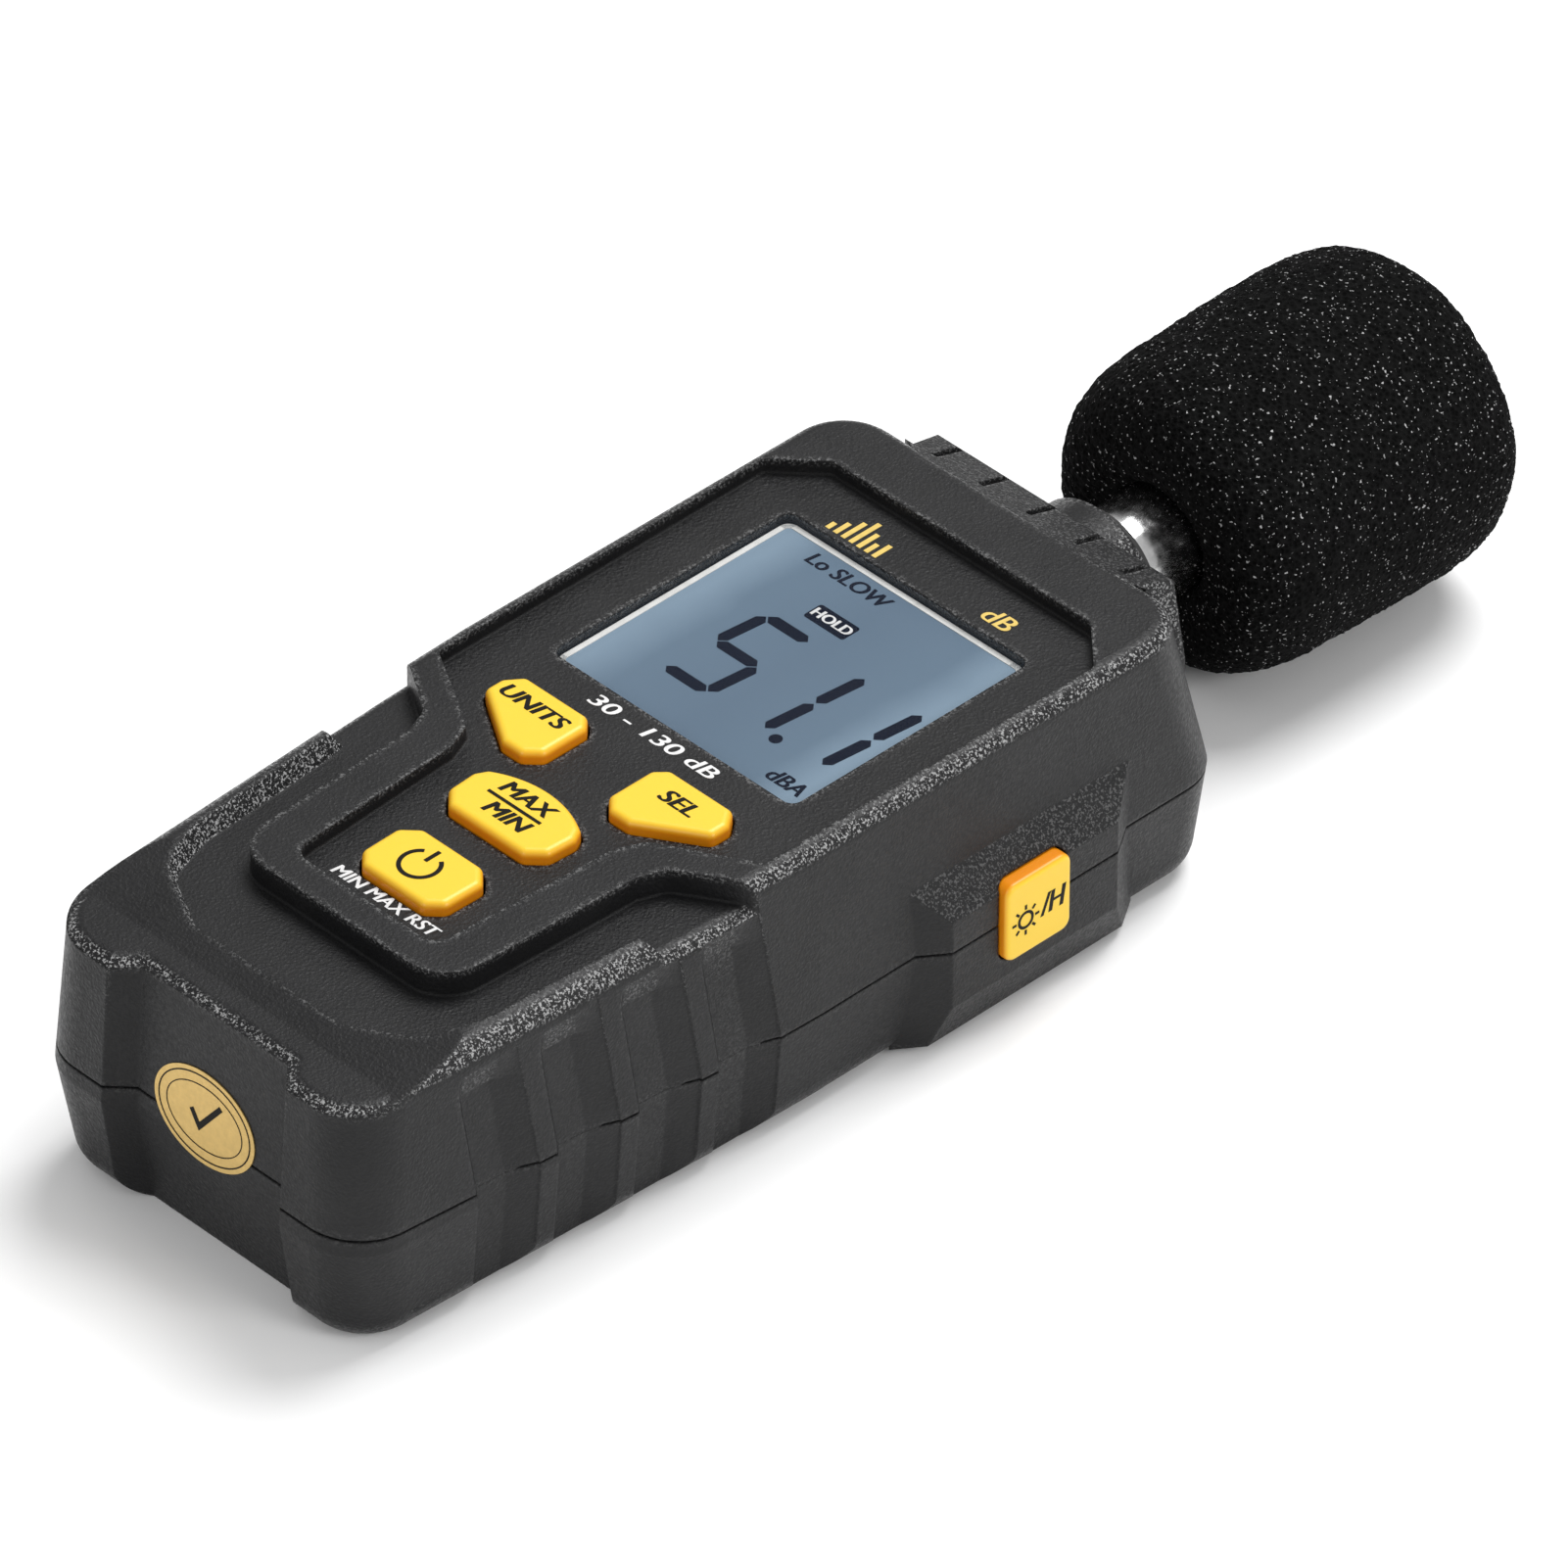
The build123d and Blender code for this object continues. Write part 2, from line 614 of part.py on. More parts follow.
def windscreen():
    """Foam drum with rounded ends, pushed over the barrel."""
    y0, y1 = FOAM_Y
    near, far = (FOAM_R - 0.2, y0 + 11.0), (FOAM_R, y1 - 9.0)
    profile = Line((0, y0), (0, y1)) + Line((0, y1), (12.0, y1))
    profile += Spline((12.0, y1), (16.2, y1 - 1.2), (18.0, y1 - 3.6), far, tangents=((1, 0), (0, -1)))
    profile += Line(far, near)
    profile += Spline(near, (17.8, y0 + 4.6), (14.6, y0), tangents=((0, -1), (-0.8, -0.6)))
    profile += Line((14.6, y0), (0, y0))
    drum = revolve(make_face(profile), Axis.Y)
    drum = Pos(0, 0, Z_MIC) * drum
    return drum - rod(0, Z_MIC, y0 - 1, BARREL_Y[1] + 0.4, FOAM_BORE)


# ---------------------------------------------------------------- fasteners and label
def screw(x, y, head_z, seat_z, tip_z, head_r, shank_r):
    """Cross-headed screw driven upwards, its head between head_z and seat_z."""
    body = post(x, y, head_z, seat_z, head_r) + post(x, y, seat_z, tip_z, shank_r)
    for turn in (0, 90):
        body -= Pos(x, y, head_z + 0.2) * Rot(0, 0, turn) * Box(head_r * 1.2, 0.6, 1.2)
    return body


def case_screws():
    return [screw(x, y, 0.9, 2.6, 22.0, 2.5, 1.4) for x, y in CASE_SCREWS]


def cover_screw():
    return screw(0, COVER_SCREW_Y, 0.1, 1.3, 8.5, 1.8, 1.0)


def inspection_sticker():
    """Plain oval label across the joint, flat on the leaning floor of the battery-end recess."""
    lean = 1.6 * FRONT_DRAFT
    z = Z_SEAM_TAIL + 1.8
    y = Y_TAIL + TAIL_RECESS[2] + lean * (z - Z_WIDEST) - 0.02
    oval = Plane(origin=(-0.7, y, z), x_dir=(1, 0, 0), z_dir=(0, -1, lean)) * Ellipse(7.5, 5.6)
    return extrude(oval, 0.12)


NODES = {
    "front_shell": front_shell,
    "rear_shell": rear_shell,
    "head_cap": head_cap,
    "battery_cover": battery_cover,
    "battery_cover_screw": cover_screw,
    "case_screws": case_screws,
    "display_window": display_window,
    "window_gasket": window_gasket,
    "lcd_glass": lcd_glass,
    "lcd_frame": lcd_frame,
    "backlight_panel": backlight,
    "zebra_strips": zebra_strips,
    "keypad_mat": keypad_mat,
    "key_switches": key_switches,
    "side_key": side_key,
    "side_switch": side_switch,
    "side_switch_board": side_board,
    "main_board": main_board,
    "board_screws": board_screws,
    "processor": processor,
    "capacitors": capacitors,
    "contact_plates": contact_plates,
    "contact_springs": contact_springs,
    "mic_barrel": mic_barrel,
    "mic_capsule": mic_capsule,
    "mic_grille": mic_grille,
    "mic_ring": mic_ring,
    "mic_board": mic_board,
    "mic_leads": mic_leads,
    "windscreen": windscreen,
    "inspection_sticker": inspection_sticker,
}


def write(name, shape):
    if isinstance(shape, list):
        shape = Compound(children=shape)
    export_step(shape, f"parts/{name}.step")


os.makedirs("parts", exist_ok=True)
for node_name, build_node in NODES.items():
    write(node_name, build_node())
for key_name, (key_shape, key_centre) in KEYS.items():
    write(key_name, front_key(key_shape, key_centre))
for cell_index in range(3):
    write(f"battery_{cell_index + 1}", battery(cell_index))
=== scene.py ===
import math

import bmesh
import bpy
from mathutils import Matrix, Vector, noise


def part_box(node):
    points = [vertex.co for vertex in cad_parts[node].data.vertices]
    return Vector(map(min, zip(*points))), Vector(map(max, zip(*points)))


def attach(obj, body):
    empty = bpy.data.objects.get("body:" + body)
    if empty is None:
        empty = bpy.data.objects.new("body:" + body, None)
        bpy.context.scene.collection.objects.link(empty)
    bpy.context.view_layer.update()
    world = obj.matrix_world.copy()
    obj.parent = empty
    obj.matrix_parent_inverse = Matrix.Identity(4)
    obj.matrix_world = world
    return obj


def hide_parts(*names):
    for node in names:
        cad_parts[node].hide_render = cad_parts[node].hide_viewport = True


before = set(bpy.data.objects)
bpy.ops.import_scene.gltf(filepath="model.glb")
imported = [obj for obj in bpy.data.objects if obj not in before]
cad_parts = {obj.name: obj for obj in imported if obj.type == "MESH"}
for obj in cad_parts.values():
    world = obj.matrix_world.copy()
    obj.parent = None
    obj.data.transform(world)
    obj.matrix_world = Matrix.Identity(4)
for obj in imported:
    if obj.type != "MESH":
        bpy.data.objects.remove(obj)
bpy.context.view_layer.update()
MM = 0.001

window_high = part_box("display_window")[1]
lcd_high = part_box("lcd_glass")[1]
foam_low, foam_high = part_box("windscreen")
sticker_low, sticker_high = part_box("inspection_sticker")
side_key_low, side_key_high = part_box("side_key")
PANEL_Z = window_high.z + 0.1 * MM      # the sunk panel stands just above its window
KEY_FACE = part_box("power_key")[1].z
LCD_FACE = lcd_high.z

# ------------------------------------------------------------------ camera
# seen from the battery end and the side key's side, with a long lens
AZIMUTH = math.radians(45.94)
ELEVATION = math.radians(38.55)
CAMERA_DISTANCE = 1.6441
FOCAL_LENGTH = 363.7
SENSOR_WIDTH = 36.0
LOOK_RIGHT, LOOK_UP = -0.684, -13.198   # mm from the panel's centre to the picture's centre

back = Vector((math.sin(AZIMUTH) * math.cos(ELEVATION), -math.cos(AZIMUTH) * math.cos(ELEVATION),
               math.sin(ELEVATION)))
right = Vector((math.cos(AZIMUTH), math.sin(AZIMUTH), 0.0))
up = back.cross(right)
look_at = Vector((0.0, 0.0, PANEL_Z)) + right * LOOK_RIGHT * MM + up * LOOK_UP * MM
camera_data = bpy.data.cameras.new("camera")
camera_data.lens = FOCAL_LENGTH
camera_data.sensor_width = SENSOR_WIDTH
camera_data.clip_end = 20.0
camera = bpy.data.objects.new("camera", camera_data)
bpy.context.scene.collection.objects.link(camera)
turned = Matrix((right, up, back)).transposed().to_4x4()
camera.matrix_world = Matrix.Translation(look_at + back * CAMERA_DISTANCE) @ turned
bpy.context.scene.camera = camera

# ------------------------------------------------------------------ materials
OFF, ON = (0.0,) * 3, (1.0,) * 3


def grey(level):
    return (level,) * 3


def dimmed(color, share):
    return tuple(c * share for c in color)


class Nodes:
    """Short names for building a node material."""

    def __init__(self, name):
        self.material = bpy.data.materials.new(name)
        self.material.use_nodes = True
        self.tree = self.material.node_tree
        self.shader = self.tree.nodes["Principled BSDF"]
        self.coords = self.add("ShaderNodeTexCoord").outputs["Object"]

    def add(self, kind, **values):
        node = self.tree.nodes.new(kind)
        for key, value in values.items():
            setattr(node, key, value)
        return node

    def link(self, source, target):
        self.tree.links.new(source, target)

    def fill(self, sockets, values):
        """Give each socket its number or color, or link it to another node's output."""
        for socket, value in zip(sockets, values):
            if isinstance(value, (int, float, tuple)):
                socket.default_value = value
            else:
                self.link(value, socket)

    def set(self, **values):
        for key, value in values.items():
            self.shader.inputs[key.replace("_", " ")].default_value = value

    def noise(self, scale, detail=2.0, roughness=0.5):
        node = self.add("ShaderNodeTexNoise")
        node.inputs["Scale"].default_value = scale
        node.inputs["Detail"].default_value = detail
        node.inputs["Roughness"].default_value = roughness
        self.link(self.coords, node.inputs["Vector"])
        return node.outputs["Fac"]

    def cells(self, scale):
        node = self.add("ShaderNodeTexVoronoi")
        node.inputs["Scale"].default_value = scale
        self.link(self.coords, node.inputs["Vector"])
        return node.outputs["Distance"]

    def ramp(self, value, stops):
        node = self.add("ShaderNodeValToRGB")
        ramp = node.color_ramp
        while len(ramp.elements) < len(stops):
            ramp.elements.new(0.5)
        for element, (place, color) in zip(ramp.elements, stops):
            element.position = place
            element.color = (*color, 1.0)
        self.link(value, node.inputs["Fac"])
        return node.outputs["Color"]

    def math(self, operation, a, b):
        node = self.add("ShaderNodeMath", operation=operation)
        self.fill(node.inputs, (a, b))
        return node.outputs[0]

    def mix(self, amount, first, second, blend="MIX"):
        node = self.add("ShaderNodeMixRGB", blend_type=blend)
        self.fill(node.inputs, (amount, first, second))
        return node.outputs["Color"]

    def bump(self, height, strength, distance, previous=None):
        node = self.add("ShaderNodeBump")
        node.inputs["Strength"].default_value = strength
        node.inputs["Distance"].default_value = distance
        self.link(height, node.inputs["Height"])
        if previous is not None:
            self.link(previous, node.inputs["Normal"])
        return node.outputs["Normal"]

    def split(self, source):
        """The X, Y and Z of a place or a direction."""
        node = self.add("ShaderNodeSeparateXYZ")
        self.link(source, node.inputs[0])
        return node.outputs

    def surface_direction(self):
        return self.split(self.add("ShaderNodeNewGeometry").outputs["Normal"])

    def rounded(self, radius):
        """Soften the shading of sharp edges."""
        node = self.add("ShaderNodeBevel", samples=4)
        node.inputs["Radius"].default_value = radius
        return node.outputs["Normal"]

    def outer_edges(self, reach):
        """1 on outward edges and small radii, 0 on flat and hollow ground."""
        node = self.add("ShaderNodeAmbientOcclusion", samples=6, inside=True, only_local=True)
        node.inputs["Distance"].default_value = reach
        return self.ramp(node.outputs["AO"], [(0.62, ON), (0.95, OFF)])

    def height(self, low, high, below):
        """1 above the height high, falling to below at the height low."""
        above = self.math("SUBTRACT", self.split(self.coords)["Z"], low)
        share = self.math("DIVIDE", above, high - low)
        return self.ramp(share, [(0.0, grey(below)), (1.0, ON)])

    def rounded_ground(self):
        """Where the surface turns between flat and upright, as it does on a rounded edge."""
        lean = self.math("ABSOLUTE", self.surface_direction()["Z"], 0.0)
        peak = grey(0.8)
        return self.ramp(lean, [(0.22, OFF), (0.45, peak), (0.86, peak), (0.975, OFF)])

    def color(self, source):
        self.link(source, self.shader.inputs["Base Color"])

    def roughness(self, value, low, high):
        spread = self.ramp(value, [(0.3, grey(low)), (0.7, grey(high))])
        self.link(spread, self.shader.inputs["Roughness"])

    def normal(self, source):
        self.link(source, self.shader.inputs["Normal"])


HIGHLIGHT_REACH = 0.95 * MM              # how far from an edge the painted highlight reaches
# painted highlight: how strong and how bright the specks on the shell's edges are
EDGE_HIGHLIGHT = 0.35
HIGHLIGHT_COLOR = (0.40, 0.40, 0.40, 1.0)
HIGHLIGHT_LOW, HIGHLIGHT_HIGH = 23 * MM, 28 * MM    # painted highlight, full on the upper edges where light falls from above and weaker lower down
HIGHLIGHT_BELOW = 0.22
SOFT_EDGE = 0.45 * MM
GRAIN_DEPTH = 0.12 * MM
LCD_HALF_WIDTH = 0.018


def shell_plastic(name):
    """Near-black moulding with a spark-eroded grain, and bright specks painted on its rounded edges
    as highlights, strongest on the upper edges where light falls from above.
    """
    n = Nodes(name)
    dark, light = (0.0080, 0.0080, 0.0085), (0.0120, 0.0120, 0.0125)
    base = n.ramp(n.noise(140, 3), [(0.35, dark), (0.7, light)])
    highlight_specks = n.ramp(n.noise(3300, 2, 0.7), [(0.53, OFF), (0.60, ON)])
    edge_highlight = n.math("MULTIPLY", n.outer_edges(HIGHLIGHT_REACH), EDGE_HIGHLIGHT)
    rounded_highlight = n.math("MAXIMUM", edge_highlight, n.rounded_ground())
    painted_highlight = n.math("MULTIPLY", rounded_highlight, n.height(HIGHLIGHT_LOW, HIGHLIGHT_HIGH, HIGHLIGHT_BELOW))
    # painted highlight: bright specks on the rounded, upper edges are mixed into the shell's colour
    n.color(n.mix(n.math("MULTIPLY", painted_highlight, highlight_specks), base, HIGHLIGHT_COLOR))
    n.set(Specular_IOR_Level=0.24)
    n.roughness(n.noise(2200, 1), 0.32, 0.52)
    coarse = n.bump(n.cells(2300), 0.28, GRAIN_DEPTH, n.rounded(SOFT_EDGE))
    n.normal(n.bump(n.noise(3600, 2, 0.6), 0.50, GRAIN_DEPTH, coarse))
    return n.material


def key_plastic(name, facing_axis):
    """Soft yellow moulding, with painted shade that turns it deeper orange down its sides."""
    n = Nodes(name)
    faces_out = n.surface_direction()[facing_axis]
    # painted shade: darker and more orange where the surface turns away from the key's face
    shade_tint = n.math("ADD", faces_out, n.math("MULTIPLY", n.noise(260, 2), 0.12))
    side, shoulder, top = (0.80, 0.26, 0.004), (0.80, 0.44, 0.012), (0.80, 0.53, 0.030)
    n.color(n.ramp(shade_tint, [(0.10, side), (0.75, shoulder), (1.0, top)]))
    n.set(Roughness=0.36, Subsurface_Weight=0.10, Subsurface_Scale=0.001, Specular_IOR_Level=0.45,
          Subsurface_Radius=(1.0, 0.5, 0.05))
    n.normal(n.bump(n.noise(1500, 2), 0.10, 0.06 * MM))
    return n.material


def metal(name, color, low, high, scale=900, metallic=1.0):
    n = Nodes(name)
    n.set(Metallic=metallic)
    n.color(n.ramp(n.noise(scale, 3), [(0.3, dimmed(color, 0.88)), (0.7, color)]))
    n.roughness(n.noise(scale * 1.7, 2), low, high)
    n.normal(n.bump(n.noise(scale * 2, 2), 0.06, 0.04 * MM))
    return n.material


def plain(name, dark, light, low=0.4, high=0.6):
    """Moulded plastic, rubber or lacquer with a slight mottle and grain."""
    n = Nodes(name)
    n.color(n.ramp(n.noise(400, 3), [(0.35, dark), (0.65, light)]))
    n.roughness(n.noise(800, 2), low, high)
    n.normal(n.bump(n.noise(1600, 2), 0.15, 0.08 * MM))
    return n.material


def clear_window():
    n = Nodes("window_clear")
    n.set(Alpha=0.07, Roughness=0.05, IOR=1.49, Specular_IOR_Level=0.6)
    n.color(n.ramp(n.noise(60, 2), [(0.3, (0.05, 0.07, 0.09)), (0.7, (0.08, 0.10, 0.13))]))
    return n.material


def lcd_panel():
    """Blue-grey liquid crystal, with painted light: brighter towards its ends and glowing a little as
    if lit from behind.
    """
    n = Nodes("lcd_face")
    edge = n.math("ABSOLUTE", n.math("MULTIPLY", n.split(n.coords)["X"], 1.0 / LCD_HALF_WIDTH), 0.0)
    cloud = n.math("MULTIPLY", n.noise(70, 2), 0.25)
    face = [(0.0, (0.086, 0.130, 0.184)), (0.75, (0.096, 0.146, 0.202)), (1.05, (0.17, 0.24, 0.31))]
    # painted light: the colour brightens towards the ends, and the same colour glows from the face
    color = n.ramp(n.math("ADD", edge, cloud), face)
    n.color(color)
    n.link(color, n.shader.inputs["Emission Color"])
    n.set(Emission_Strength=0.2, Roughness=0.5, Specular_IOR_Level=0.2)
    return n.material


def foam():
    """Black open-cell foam, with painted highlights where a few cell walls would catch the light."""
    n = Nodes("foam_black")
    pores = n.cells(1700)
    base = n.ramp(pores, [(0.15, grey(0.0015)), (0.75, grey(0.0070))])
    # painted highlight: bright flecks added to the foam's colour
    painted_glints = n.ramp(n.noise(2500, 1, 0.5), [(0.680, OFF), (0.74, grey(0.42))])
    n.color(n.mix(1.0, base, painted_glints, "ADD"))
    n.set(Roughness=0.95, Specular_IOR_Level=0.05)
    fine = n.bump(n.noise(2600, 3, 0.7), 0.8, 0.3 * MM)
    n.normal(n.bump(pores, 0.9, 0.5 * MM, fine))
    return n.material


def printed(name, color, roughness=0.45, gloss=0.5):
    n = Nodes(name)
    n.color(n.ramp(n.noise(1200, 2), [(0.3, dimmed(color, 0.85)), (0.7, color)]))
    n.set(Roughness=roughness, Specular_IOR_Level=gloss)
    return n.material


def pale_floor():
    n = Nodes("floor_pale")
    n.color(n.ramp(n.noise(6, 2), [(0.2, grey(0.93)), (0.8, grey(0.97))]))
    n.set(Roughness=0.8, Specular_IOR_Level=0.1)
    return n.material


SHELL = shell_plastic("shell_dark")
KEY = key_plastic("key_yellow", "Z")
SIDE_KEY = key_plastic("side_key_yellow", "X")
STEEL = metal("steel", (0.60, 0.60, 0.61), 0.25, 0.40)
CHROME = metal("barrel_bright", (0.86, 0.86, 0.86), 0.10, 0.20, 500)
ALUMINIUM = metal("aluminium", (0.74, 0.75, 0.77), 0.25, 0.40)
RUBBER = plain("rubber_black", (0.012, 0.012, 0.012), (0.022, 0.022, 0.022), 0.6, 0.8)
COMPONENT = plain("component_black", (0.014, 0.014, 0.015), (0.028, 0.028, 0.030))
BOARD = plain("board_green", (0.012, 0.085, 0.030), (0.020, 0.120, 0.045), 0.25, 0.4)
WHITE = plain("white_plastic", (0.66, 0.66, 0.64), (0.76, 0.76, 0.74))
LEAD = plain("lead_red", (0.32, 0.02, 0.015), (0.42, 0.03, 0.02))
CELL = plain("cell_sleeve", (0.05, 0.14, 0.07), (0.07, 0.19, 0.10), 0.2, 0.3)
FOAM = foam()
INK_DARK = printed("ink_dark", (0.008, 0.007, 0.005), gloss=0.1)
INK_WHITE = printed("ink_white", (0.74, 0.74, 0.74), gloss=0.2)
INK_GOLD = printed("ink_gold", (0.70, 0.50, 0.12), 0.35)
INK_NAVY = printed("lcd_navy", (0.0015, 0.0022, 0.012), 0.5, gloss=0.02)
STICKER = metal("sticker_gold", (0.66, 0.45, 0.15), 0.30, 0.45, 1500, metallic=0.55)

CARRIED = {
    "front_shell": SHELL, "rear_shell": SHELL, "head_cap": SHELL, "battery_cover": SHELL,
    "battery_cover_screw": STEEL, "case_screws": STEEL, "display_window": clear_window(),
    "window_gasket": WHITE, "lcd_glass": lcd_panel(), "lcd_frame": WHITE, "backlight_panel": WHITE,
    "zebra_strips": RUBBER, "keypad_mat": RUBBER, "power_key": KEY, "max_min_key": KEY,
    "units_key": KEY, "select_key": KEY, "side_key": SIDE_KEY, "key_switches": COMPONENT,
    "side_switch": COMPONENT, "side_switch_board": BOARD, "main_board": BOARD,
    "board_screws": STEEL, "processor": COMPONENT, "capacitors": ALUMINIUM,
    "contact_plates": STEEL, "contact_springs": STEEL, "battery_1": CELL, "battery_2": CELL,
    "battery_3": CELL, "mic_barrel": CHROME, "mic_capsule": ALUMINIUM, "mic_grille": STEEL,
    "mic_ring": RUBBER, "mic_board": BOARD, "mic_leads": LEAD, "windscreen": FOAM,
    "inspection_sticker": STICKER,
}
for node, material in CARRIED.items():
    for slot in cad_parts[node].material_slots:
        slot.material = material

# ------------------------------------------------------------------ drawing tools
INK = 0.05 * MM             # thickness of a mark printed on plastic
LCD_INK = 0.04 * MM
SUNK = 0.01 * MM            # how deep a mark sits in its surface


def add_object(name, mesh, material, body):
    mesh.materials.clear()
    mesh.materials.append(material)
    piece = bpy.data.objects.new(name, mesh)
    bpy.context.scene.collection.objects.link(piece)
    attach(piece, body)
    return piece


def placed(mesh, frame_matrix):
    mesh.transform(frame_matrix)
    mesh.update()
    return mesh


def moved(mesh, x, y, z):
    return placed(mesh, Matrix.Translation((x, y, z)))


def facing(origin, x_dir, normal):
    """Matrix that puts a flat drawing on a surface."""
    x_dir, normal = Vector(x_dir).normalized(), Vector(normal).normalized()
    axes = Matrix((x_dir, normal.cross(x_dir), normal)).transposed().to_4x4()
    return Matrix.Translation(Vector(origin)) @ axes


def flat_mesh(name, outlines, thickness):
    """Thin solid from flat outlines given in millimetres."""
    bm = bmesh.new()
    for points in outlines:
        face = bm.faces.new([bm.verts.new((x * MM, y * MM, 0.0)) for x, y in points])
        grown = bmesh.ops.extrude_face_region(bm, geom=[face])
        raised = [item for item in grown["geom"] if isinstance(item, bmesh.types.BMVert)]
        bmesh.ops.translate(bm, vec=(0, 0, thickness), verts=raised)
    bmesh.ops.recalc_face_normals(bm, faces=bm.faces)
    mesh = bpy.data.meshes.new(name)
    bm.to_mesh(mesh)
    bm.free()
    return mesh


def lettering(name, text, size, thickness, shear=0.0, stretch=1.0, bold=0.0):
    """Printed characters centred on the drawing's origin, thickened by two copies beside them."""
    curve = bpy.data.curves.new(name, "FONT")
    curve.body = text
    curve.size = size * MM
    curve.align_x = "CENTER"
    curve.align_y = "CENTER"
    curve.shear = shear
    curve.extrude = thickness / 2
    curve.resolution_u = 4
    holder = bpy.data.objects.new(name, curve)
    mesh = bpy.data.meshes.new_from_object(holder)
    bpy.data.objects.remove(holder)
    mesh.transform(Matrix.Diagonal((stretch, 1.0, 1.0, 1.0)))
    bm = bmesh.new()
    for step in (-1, 0, 1):
        bm.from_mesh(mesh)
        fresh = bm.verts[-len(mesh.vertices):]
        bmesh.ops.translate(bm, vec=(step * bold * MM, 0, step * 0.002 * MM), verts=fresh)
    bm.to_mesh(mesh)
    bm.free()
    mesh.name = name
    return mesh


def ring_points(radius, start, end, count):
    """Points along an arc, from and to angles in degrees."""
    angles = [math.radians(start + (end - start) * i / (count - 1)) for i in range(count)]
    return [(radius * math.cos(angle), radius * math.sin(angle)) for angle in angles]


def strip(outer, inner):
    """Four-sided pieces between two lines of points."""
    return [[outer[i], outer[i + 1], inner[i + 1], inner[i]] for i in range(len(outer) - 1)]


def arc_band(radius, width, start, end, count=40):
    return strip(ring_points(radius + width / 2, start, end, count),
                 ring_points(radius - width / 2, start, end, count))


def oval_band(rx, ry, width, count=60):
    unit = ring_points(1, 0, 360, count)
    return strip([(x * rx, y * ry) for x, y in unit],
                 [(x * (rx - width), y * (ry - width)) for x, y in unit])


def rectangle(x0, y0, x1, y1):
    return [(x0, y0), (x1, y0), (x1, y1), (x0, y1)]


def shifted(outlines, dx, dy):
    return [[(x + dx, y + dy) for x, y in points] for points in outlines]


# ------------------------------------------------------------------ key marks
KEY_SHEAR, KEY_BOLD = 0.2, 0.12


def middle(node):
    low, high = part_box(node)
    return (low + high) / 2


def word(name, text, size, stretch):
    return lettering(name, text, size, INK, KEY_SHEAR, stretch, KEY_BOLD)


def key_mark(name, meshes, body):
    """Print meshes on a front key, each at an offset in millimetres from the key's middle."""
    center = middle(body)
    for index, (mesh, (dx, dy)) in enumerate(meshes):
        moved(mesh, center.x + dx * MM, center.y + dy * MM, KEY_FACE + INK / 2 - SUNK)
        add_object(f"{name}_{index + 1}", mesh, INK_DARK, body)


power = middle("power_key")
symbol = arc_band(2.2, 0.5, 125, 415) + [rectangle(-0.25, 0.7, 0.25, 2.8)]
symbol_mesh = flat_mesh("power_symbol", symbol, INK)
moved(symbol_mesh, power.x - 0.3 * MM, power.y - 0.1 * MM, KEY_FACE - SUNK)
add_object("power_symbol", symbol_mesh, INK_DARK, "power_key")

bar = flat_mesh("max_min_bar", [rectangle(-3.9, -0.19, 3.9, 0.19)], INK)
key_mark("max_min_mark", [(word("max", "MAX", 2.9, 1.12), (-0.5, 1.75)), (bar, (-0.4, 0.0)),
                          (word("min", "MIN", 2.9, 1.12), (0.1, -1.75))], "max_min_key")
key_mark("units_mark", [(word("units", "UNITS", 2.85, 1.15), (-0.35, 1.45))], "units_key")
key_mark("select_mark", [(word("sel", "SEL", 2.9, 1.15), (-0.1, 1.15))], "select_key")

# a sun and a letter on the side key, for the light and for hold
SUN_RAYS = 8
RAY_INNER, RAY_OUTER, RAY_HALF_WIDTH = 1.6, 2.3, 0.18
SUN_SCALE, SUN_X, SUN_Y = 0.85, -2.0, -0.3

side = (side_key_low + side_key_high) / 2
side_face = facing((side_key_high.x - SUNK, side.y, side.z), (0, 1, 0), (1, 0, 0))
sun = arc_band(1.15, 0.42, 0, 360, 25)
for ray in range(SUN_RAYS):
    turn = math.radians(360 / SUN_RAYS * ray)
    along = Vector((math.cos(turn), math.sin(turn)))
    across = Vector((-math.sin(turn), math.cos(turn))) * RAY_HALF_WIDTH
    corners = (along * RAY_INNER - across, along * RAY_OUTER - across,
               along * RAY_OUTER + across, along * RAY_INNER + across)
    sun.append([(corner.x, corner.y) for corner in corners])
sun = [[(x * SUN_SCALE + SUN_X, y * SUN_SCALE + SUN_Y) for x, y in points] for points in sun]
sun_mesh = flat_mesh("side_mark", sun, INK)
add_object("side_mark_sun", placed(sun_mesh, side_face), INK_DARK, "side_key")
hold_mesh = placed(word("side_mark_hold", "/H", 3.9, 0.85),
                   side_face @ Matrix.Translation((1.9 * MM, 0, 0)))
add_object("side_mark_hold", hold_mesh, INK_DARK, "side_key")

# ------------------------------------------------------------------ panel marks
PANEL_WORDS = (     # piece, characters, size, place on the panel, ink, stretch
    ("panel_range", "30 - 130 dB", 2.7, (-0.4, -19.5), INK_WHITE, 1.45),
    ("panel_reset", "MIN MAX RST", 2.3, (0.1, -57.7), INK_WHITE, 1.06),
    ("panel_unit", "dB", 3.4, (10.5, 19.8), INK_GOLD, 1.1),
)
for name, text, size, (x, y), ink, stretch in PANEL_WORDS:
    mesh = lettering(name, text, size, INK, 0.15, stretch, 0.07)
    moved(mesh, x * MM, y * MM, PANEL_Z + INK / 2 - SUNK)
    add_object(name, mesh, ink, "case")

